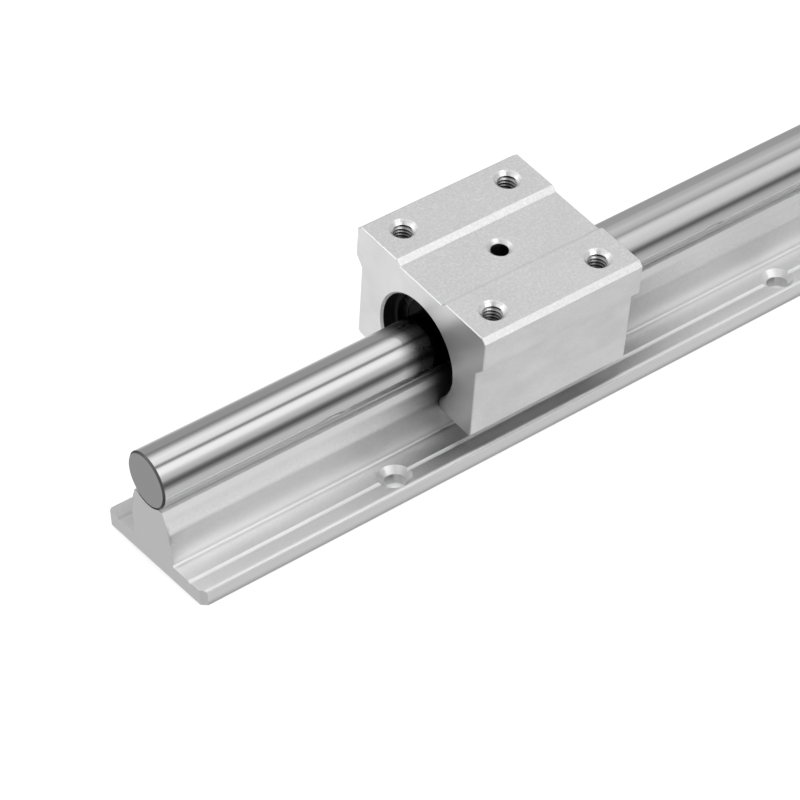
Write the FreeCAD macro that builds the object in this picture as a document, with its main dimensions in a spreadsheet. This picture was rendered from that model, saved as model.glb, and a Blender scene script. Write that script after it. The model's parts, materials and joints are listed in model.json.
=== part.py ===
import FreeCAD, Part
import Sketcher
import math
import os

# Supported round rail: a ground steel shaft screwed to an extruded support, and an open
# ball bearing block that slides along it.
#
# Frame: +X along the rail, +Z up. The origin is the centre of the mounting hole pattern,
# on the underside of the support. The block is drawn about the shaft axis in a frame of
# its own, then placed where it stands on the rail, leaning until one of its legs rests
# beside the stem, as a block does when nothing is bolted to its top.

# Driving dimensions in millimetres and degrees, each with a word for its name
SIZES = (
    ("rail_length", 300.0, "stock length of support and shaft"),
    ("end_margin", 48.0, "near end of the rail to its first mounting hole"),
    ("hole_pitch", 100.0, "mounting hole to mounting hole, along the rail"),
    ("hole_spacing", 24.0, "mounting hole to mounting hole, across the rail"),
    ("hole_dia", 4.5, "mounting hole, clear for a 4 mm screw"),
    ("hole_sink_dia", 7.1, "mouth of the countersink"),
    ("axis_height", 20.46, "underside of the support to the shaft axis"),
    ("base_width", 32.3, "across the flange"),
    ("flange_thick", 3.5, "flange"),
    ("stem_foot_width", 12.9, "stem where it meets the flange"),
    ("stem_knee_width", 12.9, "stem at its widest, under the slope"),
    ("stem_knee_drop", 9.4, "shaft axis down to the knee"),
    ("stem_lip_width", 9.2, "top of the stem, beside the shaft"),
    ("stem_lip_drop", 5.0, "shaft axis down to the top of the stem"),
    ("seat_gap", 0.02, "seat of the stem under the shaft"),
    ("groove_width", 1.0, "marking groove along the hole line"),
    ("groove_depth", 0.5, "marking groove along the hole line"),
    ("flange_round", 0.8, "upper outer edge of the flange"),
    ("foot_round", 0.5, "inner corner of stem and flange"),
    ("flange_corner", 1.1, "bevel on the flange's four corners, seen from above"),
    ("shaft_dia", 12.0, "ground shaft"),
    ("shaft_bevel", 0.4, "bevel on the shaft's ends"),
    ("tap_depth", 8.0, "screw hole in the shaft, from its underside"),
    ("tap_dia", 4.0, "screw hole in the shaft"),
    ("screw_dia", 3.9, "shank of the shaft screw"),
    ("screw_length", 16.0, "shank of the shaft screw"),
    ("screw_head_dia", 7.0, "cap of the shaft screw"),
    ("screw_head_high", 4.0, "cap of the shaft screw"),
    ("screw_socket", 3.0, "hexagon socket, across its flats"),
    ("screw_socket_deep", 2.0, "hexagon socket"),
    ("sink_dia", 8.0, "counterbore for the cap"),
    ("sink_depth", 5.0, "counterbore for the cap"),
    ("screw_clear_dia", 4.5, "hole for the shank through the stem"),
    ("block_place", 34.8, "first mounting hole to the block's middle, along the rail"),
    ("block_lean", 8.5, "lean of the block about the shaft"),
    ("block_width", 40.0, "across the top"),
    ("block_length", 39.0, "along the rail"),
    ("block_top", 17.15, "shaft axis up to the top pads"),
    ("block_bottom", 10.0, "shaft axis down to the underside"),
    ("block_waist", 36.2, "across the body under the ears"),
    ("waist_top", 7.2, "shaft axis up to the lower end of the ear's slope"),
    ("ear_bottom", 9.4, "shaft axis up to the ear's lower edge"),
    ("block_bevel", 1.1, "upper outer edges, across"),
    ("block_bevel_down", 1.05, "upper outer edges, downwards"),
    ("block_deburr", 0.15, "edges of the milled ends"),
    ("foot_bevel", 0.6, "lower outer edges"),
    ("channel_width", 13.0, "floor of the shallow channel between the pads"),
    ("channel_mouth", 15.4, "the channel's width at the pads' height"),
    ("channel_depth", 0.97, "channel between the pads"),
    ("bore_dia", 22.26, "bore for the bearing"),
    ("bore_bevel", 0.45, "both mouths of the bore"),
    ("slot_top_width", 15.5, "opening under the bore, at the bore"),
    ("slot_top_drop", 7.0, "shaft axis down to that height"),
    ("slot_width", 17.0, "opening under the bore, at the underside"),
    ("ring_groove_dia", 23.4, "groove for the retaining ring"),
    ("ring_groove_width", 1.2, "groove for the retaining ring"),
    ("ring_groove_place", 15.7, "middle of the block to the middle of the groove"),
    ("bolt_across", 28.0, "tapped holes in the pads, across the rail"),
    ("bolt_along", 26.0, "tapped holes in the pads, along the rail"),
    ("bolt_dia", 5.0, "tapped hole, outer size of its thread"),
    ("bolt_depth", 10.0, "tapped hole"),
    ("bolt_sink_dia", 5.8, "mouth of the tapped hole"),
    ("oil_dia", 3.7, "middle hole, down to the bearing"),
    ("oil_sink_dia", 5.3, "mouth of the middle hole"),
    ("shell_dia", 22.2, "bearing sleeve"),
    ("shell_bore", 16.9, "inside of the sleeve"),
    ("shell_length", 30.0, "bearing sleeve"),
    ("shell_bevel", 0.5, "ends of the sleeve"),
    ("shell_groove_dia", 21.2, "outside grooves of the sleeve"),
    ("shell_groove_width", 1.3, "outside grooves of the sleeve"),
    ("shell_groove_span", 23.0, "over both grooves of the sleeve"),
    ("shell_opening", 84.0, "open angle of the sleeve, in degrees"),
    ("cage_dia", 16.8, "ball cage"),
    ("cage_bore", 12.9, "ball cage"),
    ("cage_length", 26.8, "ball cage"),
    ("inner_opening", 100.0, "open angle of cage and seals, in degrees"),
    ("ball_dia", 2.4, "ball"),
    ("ball_pitch", 2.5, "ball to ball in a row"),
    ("ball_gap", 0.03, "ball over the shaft"),
    ("row_angle", 100.0, "row to row round the shaft, in degrees"),
    ("track_width", 2.5, "slot for a row of balls in the cage"),
    ("seal_length", 1.4, "end seal"),
    ("seal_bore", 12.12, "lip of the end seal"),
    ("seal_place", 14.15, "middle of the bearing to the middle of its seal"),
    ("ring_dia", 23.3, "retaining ring, sprung into its groove"),
    ("ring_bore", 20.4, "inside of the retaining ring"),
    ("ring_thick", 1.0, "retaining ring"),
    ("ring_opening", 112.0, "open angle of the retaining ring, in degrees"),
    ("ring_ear_dia", 2.8, "ear of the retaining ring"),
    ("ring_ear_hole", 1.2, "hole in the ear, for pliers"),
    ("ring_ear_reach", 9.7, "shaft axis to the ear's hole"),
    ("ring_ear_angle", 61.0, "ear's place from straight down, in degrees"),
)

MOUNTING_ROWS = 3
BALLS_IN_ROW = 9
BALL_ROWS = 3
SKETCH_GUESS = 5.0

doc = FreeCAD.newDocument("SupportedRoundRail")
sizes = doc.addObject("Spreadsheet::Sheet", "Sizes")
for line, (word, number, meaning) in enumerate(SIZES, start=1):
    sizes.set("A%d" % line, word)
    sizes.set("B%d" % line, "%g" % number)
    sizes.set("C%d" % line, meaning)
    sizes.setAlias("B%d" % line, word)
doc.recompute()


def sheet(expression):
    """Write an expression with [word] standing for a cell of the sheet."""
    return expression.replace("[", "Sizes.").replace("]", "")


def bind(thing, prop, expression):
    thing.setExpression(prop, sheet(expression))


def new_body(name):
    body = doc.addObject("PartDesign::Body", name)
    body.Label = name
    return body


def base_plane(body, role):
    for feature in body.Origin.OriginFeatures:
        if feature.Role == role:
            return feature
    raise ValueError("no plane " + role)


def new_sketch(body, name, role, offset=None):
    """A sketch on one of the body's own planes, moved along that plane's normal."""
    sketch = body.newObject("Sketcher::SketchObject", name)
    sketch.AttachmentSupport = (base_plane(body, role), [""])
    sketch.MapMode = "FlatFace"
    if offset:
        bind(sketch, "AttachmentOffset.Base.z", offset)
    return sketch


def name_constraint(sketch, kind, expression, *refs):
    """Add a sized constraint and bind it to the sheet."""
    index = sketch.addConstraint(Sketcher.Constraint(kind, *refs, SKETCH_GUESS))
    bind(sketch, "Constraints[%d]" % index, expression)


def fix_point(sketch, geo, end, across, up):
    """Hold one point of the sketch at two distances from its origin, or on an axis."""
    if across == "0":
        sketch.addConstraint(Sketcher.Constraint("PointOnObject", geo, end, -2))
    else:
        name_constraint(sketch, "DistanceX", across, -1, 1, geo, end)
    if up == "0":
        sketch.addConstraint(Sketcher.Constraint("PointOnObject", geo, end, -1))
    else:
        name_constraint(sketch, "DistanceY", up, -1, 1, geo, end)


def add_outline(sketch, corners):
    """A closed outline of straight lines through corners given as sheet expressions."""
    count = len(corners)
    guess = []
    for index in range(count):
        turn = 2.0 * math.pi * index / count
        across = SKETCH_GUESS * math.cos(turn)
        guess.append(FreeCAD.Vector(across, SKETCH_GUESS * math.sin(turn), 0))
    first = sketch.GeometryCount
    for index in range(count):
        line = Part.LineSegment(guess[index], guess[(index + 1) % count])
        sketch.addGeometry(line, False)
    for index in range(count):
        here = first + index
        following = first + (index + 1) % count
        sketch.addConstraint(Sketcher.Constraint("Coincident", here, 2, following, 1))
    for index, (across, up) in enumerate(corners):
        fix_point(sketch, first + index, 1, across, up)


def mirrored(half):
    """The outline of a shape with a mirror line, from the corners on its right side."""
    left = []
    for across, up in reversed(half):
        if across != "0":
            left.append(("-(" + across + ")", up))
    return list(half) + left


def add_circle(sketch, dia, across="0", up="0"):
    ring = Part.Circle(FreeCAD.Vector(0, 0, 0), FreeCAD.Vector(0, 0, 1), SKETCH_GUESS)
    geo = sketch.addGeometry(ring, False)
    if across == "0" and up == "0":
        sketch.addConstraint(Sketcher.Constraint("Coincident", geo, 3, -1, 1))
    else:
        fix_point(sketch, geo, 3, across, up)
    name_constraint(sketch, "Diameter", dia, geo)


def pad(body, sketch, name, length):
    feature = body.newObject("PartDesign::Pad", name)
    feature.Profile = sketch
    bind(feature, "Length", length)
    return feature


def cut(body, sketch, name, depth=None, backwards=False):
    """A pocket to a depth, or through everything both ways; it has to take something."""
    doc.recompute()
    before = body.Shape.Volume
    feature = body.newObject("PartDesign::Pocket", name)
    feature.Profile = sketch
    if depth:
        bind(feature, "Length", depth)
        feature.Reversed = backwards
    else:
        feature.Type = "ThroughAll"
        feature.Midplane = True
    doc.recompute()
    if not body.Shape.Volume < before:
        raise ValueError(name + " cuts nothing")
    return feature


def turn_down(body, sketch, name):
    """A groove turned about the sketch's own horizontal axis."""
    doc.recompute()
    before = body.Shape.Volume
    feature = body.newObject("PartDesign::Groove", name)
    feature.Profile = sketch
    feature.ReferenceAxis = (sketch, ["H_Axis"])
    feature.Angle = 360.0
    doc.recompute()
    if not body.Shape.Volume < before:
        raise ValueError(name + " cuts nothing")
    return feature


def sink(body, name, role, height, places, dia, depth, mouth):
    """Drilled holes with a countersunk mouth, from a plane down into the body."""
    sketch = new_sketch(body, name + "_places", role, height)
    for across, up in places:
        add_circle(sketch, dia, across, up)
    doc.recompute()
    before = body.Shape.Volume
    hole = body.newObject("PartDesign::Hole", name)
    hole.Profile = sketch
    hole.Threaded = False
    hole.DrillPoint = "Flat"
    if depth:
        hole.DepthType = "Dimension"
        bind(hole, "Depth", depth)
    else:
        hole.DepthType = "ThroughAll"
    bind(hole, "Diameter", dia)
    hole.HoleCutType = "Countersink"
    bind(hole, "HoleCutDiameter", mouth)
    hole.HoleCutCountersinkAngle = 90.0
    doc.recompute()
    if not body.Shape.Volume < before:
        raise ValueError(name + " cuts nothing")
    return hole


def edges_along_x(shape, across, up):
    """Names of the straight edges along the rail that pass near one point."""
    found = []
    for index, edge in enumerate(shape.Edges, start=1):
        box = edge.BoundBox
        level = box.YLength < 0.01 and box.ZLength < 0.01
        if level and abs(box.YMin - across) < 0.05 and abs(box.ZMin - up) < 0.05:
            found.append("Edge%d" % index)
    return found


def number(word):
    return float(sizes.get(word))


def round_edges(body, name, size, places):
    doc.recompute()
    base = body.Tip
    names = []
    for across, up in places:
        names += edges_along_x(base.Shape, across, up)
    if not names:
        raise ValueError("no edges for " + name)
    feature = body.newObject("PartDesign::Fillet", name)
    feature.Base = (base, names)
    bind(feature, "Radius", size)
    return feature


def bevel_edges(body, name, size, chosen):
    """A bevel on every edge whose bounding box is one of the chosen."""
    doc.recompute()
    base = body.Tip
    names = []
    for index, edge in enumerate(base.Shape.Edges, start=1):
        if chosen(edge.BoundBox):
            names.append("Edge%d" % index)
    if not names:
        raise ValueError("no edges for " + name)
    feature = body.newObject("PartDesign::Chamfer", name)
    feature.Base = (base, names)
    bind(feature, "Size", size)
    return feature


def deburr_ends(body, size, length):
    """A small bevel round the outlines of the two ends that the body was padded between."""
    def chosen(box):
        return box.XLength < 0.01 and abs(abs(box.XMin) - number(length) / 2) < 0.01

    return bevel_edges(body, "end_edges", size, chosen)


def bevel_corners(body, size, side):
    """A bevel on the upright edges that stand at one distance from the rail's middle."""
    def chosen(box):
        upright = box.XLength < 0.01 and box.YLength < 0.01
        return upright and abs(abs(box.YMin) - side) < 0.01

    return bevel_edges(body, "corner_edges", size, chosen)


def hole_stations():
    """Places of the mounting holes along the rail, as sheet expressions."""
    stations = []
    for order in range(MOUNTING_ROWS):
        steps = order - (MOUNTING_ROWS - 1) / 2.0
        stations.append("%g * [hole_pitch]" % steps if steps else "0")
    return stations


RAIL_START = "-([hole_pitch] + [end_margin])"
BLOCK_MIDDLE = "[block_place] - [hole_pitch]"


def make_support_rail():
    """The extruded support: flange, stem and the seat that the shaft lies in."""
    body = new_body("support_rail")
    profile = new_sketch(body, "support_profile", "YZ_Plane", RAIL_START)
    flange_top = "[flange_thick]"
    half = [
        ("[base_width] / 2", "0"),
        ("[base_width] / 2", flange_top),
        ("([hole_spacing] + [groove_width]) / 2", flange_top),
        ("[hole_spacing] / 2", "[flange_thick] - [groove_depth]"),
        ("([hole_spacing] - [groove_width]) / 2", flange_top),
        ("[stem_foot_width] / 2", flange_top),
        ("[stem_knee_width] / 2", "[axis_height] - [stem_knee_drop]"),
        ("[stem_lip_width] / 2", "[axis_height] - [stem_lip_drop]"),
    ]
    add_outline(profile, mirrored(half))
    pad(body, profile, "support_bar", "[rail_length]")

    seat = new_sketch(body, "seat_profile", "YZ_Plane")
    add_circle(seat, "[shaft_dia] + 2 * [seat_gap]", "0", "[axis_height]")
    cut(body, seat, "shaft_seat")

    top = number("flange_thick")
    side = number("base_width") / 2
    foot = number("stem_foot_width") / 2
    bevel_corners(body, "[flange_corner]", side)
    round_edges(body, "flange_edges", "[flange_round]", ((side, top), (-side, top)))
    round_edges(body, "stem_feet", "[foot_round]", ((foot, top), (-foot, top)))

    places = []
    for station in hole_stations():
        places.append((station, "[hole_spacing] / 2"))
        places.append((station, "-[hole_spacing] / 2"))
    mouth = "[hole_sink_dia]"
    sink(body, "mounting_holes", "XY_Plane", flange_top, places, "[hole_dia]", None, mouth)

    shanks = new_sketch(body, "screw_clearance_places", "XY_Plane")
    for station in hole_stations():
        add_circle(shanks, "[screw_clear_dia]", station, "0")
    cut(body, shanks, "screw_clearance")
    caps = new_sketch(body, "counterbore_places", "XY_Plane")
    for station in hole_stations():
        add_circle(caps, "[sink_dia]", station, "0")
    cut(body, caps, "counterbores", "[sink_depth]", True)
    return body


def make_shaft():
    """The ground shaft, drilled and tapped from below for its screws."""
    body = new_body("shaft")
    profile = new_sketch(body, "shaft_profile", "XZ_Plane")
    half = "[shaft_dia] / 2"
    waist = "[shaft_dia] / 2 - [shaft_bevel]"
    start = RAIL_START
    end = RAIL_START + " + [rail_length]"
    corners = [
        (start, "0"),
        (start, waist),
        (start + " + [shaft_bevel]", half),
        (end + " - [shaft_bevel]", half),
        (end, waist),
        (end, "0"),
    ]
    add_outline(profile, corners)
    bar = body.newObject("PartDesign::Revolution", "shaft_bar")
    bar.Profile = profile
    bar.ReferenceAxis = (profile, ["H_Axis"])
    bar.Angle = 360.0
    taps = new_sketch(body, "tap_places", "XY_Plane", "-[shaft_dia] / 2")
    for station in hole_stations():
        add_circle(taps, "[tap_dia]", station, "0")
    cut(body, taps, "screw_taps", "[tap_depth]", True)
    bind(body, "Placement.Base.z", "[axis_height]")
    return body


def make_shaft_screw(order, station):
    """A socket head screw, cap down, from the counterbore up into the shaft."""
    body = new_body("shaft_screw_%d" % order)
    profile = new_sketch(body, "screw_profile", "XZ_Plane")
    corners = [
        ("0", "-[screw_head_high]"),
        ("[screw_head_dia] / 2", "-[screw_head_high]"),
        ("[screw_head_dia] / 2", "0"),
        ("[screw_dia] / 2", "0"),
        ("[screw_dia] / 2", "[screw_length]"),
        ("0", "[screw_length]"),
    ]
    add_outline(profile, corners)
    turned = body.newObject("PartDesign::Revolution", "screw_blank")
    turned.Profile = profile
    turned.ReferenceAxis = (profile, ["V_Axis"])
    turned.Angle = 360.0
    socket = new_sketch(body, "socket_profile", "XY_Plane", "-[screw_head_high]")
    flat = "[screw_socket] / 2"
    corner = "[screw_socket] / sqrt(3)"
    hexagon = [
        (corner, "0"),
        (corner + " / 2", flat),
        ("-" + corner + " / 2", flat),
        ("-" + corner, "0"),
        ("-" + corner + " / 2", "-" + flat),
        (corner + " / 2", "-" + flat),
    ]
    add_outline(socket, hexagon)
    cut(body, socket, "hexagon_socket", "[screw_socket_deep]", True)
    bind(body, "Placement.Base.x", station if station != "0" else "0 * [hole_pitch]")
    bind(body, "Placement.Base.z", "[sink_depth]")
    return body


def place_on_shaft(thing, leaning):
    """Put a piece drawn about the shaft axis where the block stands on the rail."""
    bind(thing, "Placement.Base.x", BLOCK_MIDDLE)
    bind(thing, "Placement.Base.z", "[axis_height]")
    if leaning:
        along = FreeCAD.Vector(1, 0, 0)
        thing.Placement.Rotation = FreeCAD.Rotation(along, number("block_lean"))
        bind(thing, "Placement.Rotation.Angle", "[block_lean]")


def make_bearing_block():
    """The pillow block: ears and pads above, bore and slot for the stem below."""
    body = new_body("bearing_block")
    profile = new_sketch(body, "block_profile", "YZ_Plane", "-[block_length] / 2")
    floor = "[block_top] - [channel_depth]"
    half = [
        ("[slot_width] / 2", "-[block_bottom]"),
        ("[block_waist] / 2 - [foot_bevel]", "-[block_bottom]"),
        ("[block_waist] / 2", "-[block_bottom] + [foot_bevel]"),
        ("[block_waist] / 2", "[waist_top]"),
        ("[block_width] / 2", "[ear_bottom]"),
        ("[block_width] / 2", "[block_top] - [block_bevel_down]"),
        ("[block_width] / 2 - [block_bevel]", "[block_top]"),
        ("[channel_mouth] / 2", "[block_top]"),
        ("[channel_width] / 2", floor),
    ]
    inner = [("[slot_top_width] / 2", "-[slot_top_drop]")]
    outline = inner + half
    add_outline(profile, mirrored(outline))
    pad(body, profile, "block_blank", "[block_length]")
    deburr_ends(body, "[block_deburr]", "block_length")

    bore = new_sketch(body, "bore_profile", "YZ_Plane")
    add_circle(bore, "[bore_dia]")
    cut(body, bore, "bearing_bore")

    for side, sign in (("front", "-"), ("back", "")):
        mouth = new_sketch(body, "bore_mouth_" + side, "XZ_Plane")
        face = sign + "[block_length] / 2"
        inside = sign + "([block_length] / 2 - [bore_bevel])"
        corners = [
            (face, "0.9 * [bore_dia] / 2"),
            (face, "[bore_dia] / 2 + [bore_bevel]"),
            (inside, "[bore_dia] / 2"),
            (inside, "0.9 * [bore_dia] / 2"),
        ]
        add_outline(mouth, corners)
        turn_down(body, mouth, "bore_bevel_" + side)
        groove = new_sketch(body, "ring_groove_" + side, "XZ_Plane")
        middle = sign + "[ring_groove_place]"
        corners = [
            (middle + " - [ring_groove_width] / 2", "0.9 * [bore_dia] / 2"),
            (middle + " - [ring_groove_width] / 2", "[ring_groove_dia] / 2"),
            (middle + " + [ring_groove_width] / 2", "[ring_groove_dia] / 2"),
            (middle + " + [ring_groove_width] / 2", "0.9 * [bore_dia] / 2"),
        ]
        add_outline(groove, corners)
        turn_down(body, groove, "ring_seat_" + side)

    places = []
    for along in ("-[bolt_along] / 2", "[bolt_along] / 2"):
        places.append((along, "[bolt_across] / 2"))
        places.append((along, "-[bolt_across] / 2"))
    top = "[block_top]"
    mouth = "[bolt_sink_dia]"
    sink(body, "tapped_holes", "XY_Plane", top, places, "[bolt_dia]", "[bolt_depth]", mouth)
    deep = "[block_top] - [channel_depth] - [bore_dia] / 4"
    mouth = "[oil_sink_dia]"
    sink(body, "oil_hole", "XY_Plane", floor, [("0", "0")], "[oil_dia]", deep, mouth)
    place_on_shaft(body, True)
    return body


def opening_corners(reach, angle):
    """A wedge that opens a ring straight down, from its middle to beyond its rim."""
    side = reach + " * tan(" + angle + " / 2 * 1 deg)"
    return [("0", "0"), ("-" + side, "-" + reach), (side, "-" + reach)]


def make_bearing_shell():
    """The bearing's steel sleeve, open below for the stem, with two outside grooves."""
    body = new_body("bearing_shell")
    profile = new_sketch(body, "shell_profile", "XZ_Plane")
    end = "[shell_length] / 2"
    rim = "[shell_dia] / 2"
    deep = "[shell_groove_dia] / 2"
    outer = "[shell_groove_span] / 2"
    inner = "[shell_groove_span] / 2 - [shell_groove_width]"
    half = [
        (inner, rim),
        (inner, deep),
        (outer, deep),
        (outer, rim),
        (end + " - [shell_bevel]", rim),
        (end, rim + " - [shell_bevel]"),
        (end, "[shell_bore] / 2"),
    ]
    add_outline(profile, mirrored(half))
    ring = body.newObject("PartDesign::Revolution", "shell_ring")
    ring.Profile = profile
    ring.ReferenceAxis = (profile, ["H_Axis"])
    ring.Angle = 360.0
    wedge = new_sketch(body, "shell_opening_profile", "YZ_Plane")
    add_outline(wedge, opening_corners("[shell_dia]", "[shell_opening]"))
    cut(body, wedge, "shell_opening")
    place_on_shaft(body, False)
    return body


def make_open_ring(name, outside, bore, length, middle):
    """A plain ring about the shaft, open below."""
    body = new_body(name)
    start = middle + " - " + length + " / 2"
    profile = new_sketch(body, name + "_profile", "YZ_Plane", start)
    add_circle(profile, outside)
    add_circle(profile, bore)
    pad(body, profile, name + "_ring", length)
    wedge = new_sketch(body, name + "_opening_profile", "YZ_Plane")
    add_outline(wedge, opening_corners("[shell_dia]", "[inner_opening]"))
    cut(body, wedge, name + "_opening")
    return body


def row_degrees():
    """Turns of the ball rows about the shaft, from straight up."""
    first = -(BALL_ROWS - 1) / 2.0
    return [(first + i) * number("row_angle") for i in range(BALL_ROWS)]


def make_ball_cage():
    """The cage: an open ring with one long slot for each row of loaded balls."""
    middle = "0 * [cage_length]"
    ring = make_open_ring("cage_blank", "[cage_dia]", "[cage_bore]", "[cage_length]", middle)
    slots = []
    for order, degrees in enumerate(row_degrees(), start=1):
        slot = doc.addObject("Part::Box", "ball_slot_%d" % order)
        bind(slot, "Length", "%d * [ball_pitch] + [track_width] - [ball_dia]" % BALLS_IN_ROW)
        bind(slot, "Width", "[track_width]")
        bind(slot, "Height", "[cage_dia]")
        turn = FreeCAD.Rotation(FreeCAD.Vector(1, 0, 0), degrees)
        length = BALLS_IN_ROW * number("ball_pitch") + number("track_width") - number("ball_dia")
        corner = turn.multVec(FreeCAD.Vector(-length / 2, -number("track_width") / 2, 0))
        slot.Placement = FreeCAD.Placement(corner, turn)
        slots.append(slot)
    rows = doc.addObject("Part::MultiFuse", "ball_slots")
    rows.Shapes = slots
    cage = doc.addObject("Part::Cut", "ball_cage")
    cage.Label = "ball_cage"
    cage.Base = ring
    cage.Tool = rows
    place_on_shaft(cage, False)
    return cage


def make_bearing_balls():
    """The balls that carry the load, in rows along the shaft."""
    balls = []
    reach = (number("shaft_dia") + number("ball_dia")) / 2 + number("ball_gap")
    for degrees in row_degrees():
        turn = FreeCAD.Rotation(FreeCAD.Vector(1, 0, 0), degrees)
        for order in range(BALLS_IN_ROW):
            along = (order - (BALLS_IN_ROW - 1) / 2.0) * number("ball_pitch")
            ball = doc.addObject("Part::Sphere", "ball")
            bind(ball, "Radius", "[ball_dia] / 2")
            ball.Placement.Base = turn.multVec(FreeCAD.Vector(along, 0, reach))
            balls.append(ball)
    rows = doc.addObject("Part::Compound", "bearing_balls")
    rows.Label = "bearing_balls"
    rows.Links = balls
    place_on_shaft(rows, False)
    return rows


def make_end_seal(name, sign):
    """The rubber ring that wipes the shaft at one end of the bearing."""
    middle = sign + "[seal_place]"
    seal = make_open_ring(name, "[cage_dia]", "[seal_bore]", "[seal_length]", middle)
    place_on_shaft(seal, False)
    return seal


def make_retaining_ring(name, sign):
    """A spring ring in the block's groove, its two ears beside the slot."""
    body = new_body(name)
    start = sign + "[ring_groove_place] - [ring_thick] / 2"
    profile = new_sketch(body, name + "_profile", "YZ_Plane", start)
    add_circle(profile, "[ring_dia]")
    add_circle(profile, "[ring_bore]")
    pad(body, profile, name + "_blank", "[ring_thick]")
    wedge = new_sketch(body, name + "_gap_profile", "YZ_Plane")
    add_outline(wedge, opening_corners("[ring_dia]", "[ring_opening]"))
    cut(body, wedge, name + "_gap")
    across = "[ring_ear_reach] * sin([ring_ear_angle] * 1 deg)"
    down = "-[ring_ear_reach] * cos([ring_ear_angle] * 1 deg)"
    ears = new_sketch(body, name + "_ear_profile", "YZ_Plane", start)
    add_circle(ears, "[ring_ear_dia]", across, down)
    add_circle(ears, "[ring_ear_dia]", "-" + across, down)
    pad(body, ears, name + "_ears", "[ring_thick]")
    holes = new_sketch(body, name + "_ear_holes_profile", "YZ_Plane")
    add_circle(holes, "[ring_ear_hole]", across, down)
    add_circle(holes, "[ring_ear_hole]", "-" + across, down)
    cut(body, holes, name + "_ear_holes")
    place_on_shaft(body, True)
    return body


pieces = [make_support_rail(), make_shaft()]
for order, station in enumerate(hole_stations(), start=1):
    pieces.append(make_shaft_screw(order, station))
pieces.append(make_bearing_shell())
pieces.append(make_ball_cage())
pieces.append(make_bearing_balls())
pieces.append(make_end_seal("end_seal_front", "-"))
pieces.append(make_end_seal("end_seal_back", ""))
pieces.append(make_bearing_block())
pieces.append(make_retaining_ring("retaining_ring_front", "-"))
pieces.append(make_retaining_ring("retaining_ring_back", ""))
doc.recompute()

for thing in doc.Objects:
    if "Invalid" in thing.State or "Error" in thing.State:
        raise ValueError(thing.Name + " did not build")
for piece in pieces:
    if piece.Shape.isNull() or not piece.Shape.isValid():
        raise ValueError(piece.Label + " has no valid shape")

os.makedirs("parts", exist_ok=True)
for piece in pieces:
    piece.Shape.exportStep("parts/" + piece.Label + ".step")
    box = piece.Shape.BoundBox
    print("%-22s %9.1f mm3" % (piece.Label, piece.Shape.Volume))
    print("   x %8.2f to %8.2f" % (box.XMin, box.XMax))
    print("   y %8.2f to %8.2f" % (box.YMin, box.YMax))
    print("   z %8.2f to %8.2f" % (box.ZMin, box.ZMax))
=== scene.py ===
# %% [markdown]
# # A supported round rail
#
# The object is a polished steel shaft that is screwed to an extruded aluminium support,
# and a bearing block that slides along it. The solids come from the CAD model and stay
# where they are. What is added here is what the solids leave out: the threads in the
# block's holes, and a finish for every surface, with the light that shows it.

# %% Load the frame
import bpy
import bmesh
import json
import math
from mathutils import Matrix, Quaternion, Vector


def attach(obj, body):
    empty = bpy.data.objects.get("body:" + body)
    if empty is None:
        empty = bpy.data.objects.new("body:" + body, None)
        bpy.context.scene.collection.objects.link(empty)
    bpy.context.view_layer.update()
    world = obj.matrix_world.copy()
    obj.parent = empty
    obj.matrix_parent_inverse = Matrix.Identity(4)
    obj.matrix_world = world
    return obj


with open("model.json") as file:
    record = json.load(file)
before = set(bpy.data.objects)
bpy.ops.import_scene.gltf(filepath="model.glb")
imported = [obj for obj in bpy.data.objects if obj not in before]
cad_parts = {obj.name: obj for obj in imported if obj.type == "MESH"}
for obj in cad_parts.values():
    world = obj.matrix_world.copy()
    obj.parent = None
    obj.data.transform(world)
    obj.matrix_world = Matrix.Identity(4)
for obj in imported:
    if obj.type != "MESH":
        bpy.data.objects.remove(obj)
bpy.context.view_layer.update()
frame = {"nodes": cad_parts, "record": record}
nodes = frame["nodes"]
record = frame["record"]
MM = 0.001

# %% [markdown]
# ## The camera
#
# A long lens from about 0.6 m keeps the rail's edges nearly parallel. The place was found
# by fitting the known sizes of the rail to their edges in the picture. The camera is aimed
# at a point on the shaft, and then turned a little about its own line of sight.

# %% Camera
CAMERA_PLACE = Vector((-372.2, -396.2, 391.2)) * MM
CAMERA_AIM = Vector((-97.3, -11.4, 20.5)) * MM
CAMERA_ROLL = math.radians(-2.97)
CAMERA_LENS = 142.0

camera_data = bpy.data.cameras.new("camera")
camera_data.lens = CAMERA_LENS
camera_data.sensor_width = 36.0
camera_data.clip_start = 0.01
camera_data.clip_end = 50.0
camera = bpy.data.objects.new("camera", camera_data)
bpy.context.scene.collection.objects.link(camera)
camera.rotation_mode = "QUATERNION"
aim = (CAMERA_AIM - CAMERA_PLACE).to_track_quat("-Z", "Y")
camera.rotation_quaternion = aim @ Quaternion((0, 0, 1), CAMERA_ROLL)
camera.location = CAMERA_PLACE
bpy.context.scene.camera = camera
bpy.context.scene.view_settings.view_transform = "Standard"
print("camera", round((CAMERA_AIM - CAMERA_PLACE).length, 3), "m from its aim")

# %% [markdown]
# ## Small helpers for node trees
#
# A material or a world is a tree of nodes joined by wires. These helpers keep each tree
# short to read: one adds a node with its settings, one runs a wire, and the others add the
# nodes that come up most often, which are a sum, a colour ramp, a mix and a smooth step.


# %% Node helpers
def add_node(tree, kind, **settings):
    """A node of the given kind. A setting that names an input sets its value."""
    node = tree.nodes.new("ShaderNode" + kind)
    for word, value in settings.items():
        if word in node.inputs:
            node.inputs[word].default_value = value
        else:
            setattr(node, word, value)
    return node


def wire(tree, source, target):
    """Join an output to an input, or set the input to a number or a grey."""
    if not isinstance(source, (int, float)):
        tree.links.new(source, target)
    elif target.type == "RGBA":
        target.default_value = (source, source, source, 1.0)
    else:
        target.default_value = source


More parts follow.
